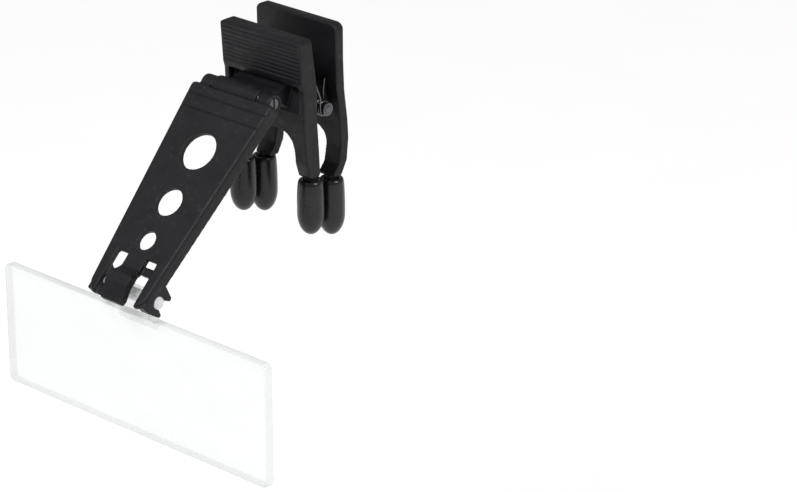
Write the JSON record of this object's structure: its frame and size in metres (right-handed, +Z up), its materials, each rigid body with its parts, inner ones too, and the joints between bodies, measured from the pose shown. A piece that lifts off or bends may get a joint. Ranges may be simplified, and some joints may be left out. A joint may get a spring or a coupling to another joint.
{
  "type": "clip-on flip lens",
  "caption": "Sprung clip with rubber-tipped jaws that grips a spectacle bridge and carries a flip-up tapered arm holding a tilting clear rectangular lens.",
  "frame": {"origin": "grip point between the front and the rear rubber tips, on the plane of symmetry", "axes": "+X to the wearer's left along both pivots, +Y back towards the wearer, +Z up"},
  "size_m": [0.086, 0.0647, 0.088],
  "materials": {
    "black_plastic": "fine moulded grain",
    "black_rubber": "glossy",
    "steel": "bright drawn wire",
    "clear_acrylic": "polished clear"
  },
  "bodies": {
    "front_clip": {"front_jaw": "black_plastic", "tip_front_left": "black_rubber", "tip_front_right": "black_rubber", "clip_pin": "steel", "clip_spacer": "steel", "clip_pin_cap_left": "steel", "clip_pin_cap_right": "steel", "clip_spring_left": "steel", "clip_spring_right": "steel", "flip_washer_left": "steel", "flip_washer_right": "steel"},
    "rear_clip": {"rear_jaw": "black_plastic", "tip_rear_left": "black_rubber", "tip_rear_right": "black_rubber"},
    "arm": {"flip_arm": "black_plastic", "flip_screw": "steel", "flip_nut": "steel"},
    "lens_holder": {"lens": "clear_acrylic", "lens_bracket": "clear_acrylic", "lens_axle": "clear_acrylic"}
  },
  "joints": [
    {"name": "clip_open", "type": "hinge", "parent": "front_clip", "child": "rear_clip", "pos_m": [0, 0.00073, 0.024], "axis": [1, 0, 0], "range_deg": [0, 18], "stiffness_Nm_per_rad": 0.2, "springref_deg": -20.05, "deforming": ["clip_spring_left", "clip_spring_right"]},
    {"name": "flip", "type": "hinge", "parent": "front_clip", "child": "arm", "pos_m": [0, -0.01498, 0.02894], "axis": [-1, 0, 0], "range_deg": [-30, 110]},
    {"name": "lens_tilt", "type": "hinge", "parent": "arm", "child": "lens_holder", "pos_m": [0, -0.05076, -0.0091], "axis": [-1, 0, 0], "range_deg": [-40, 55]}
  ]
}
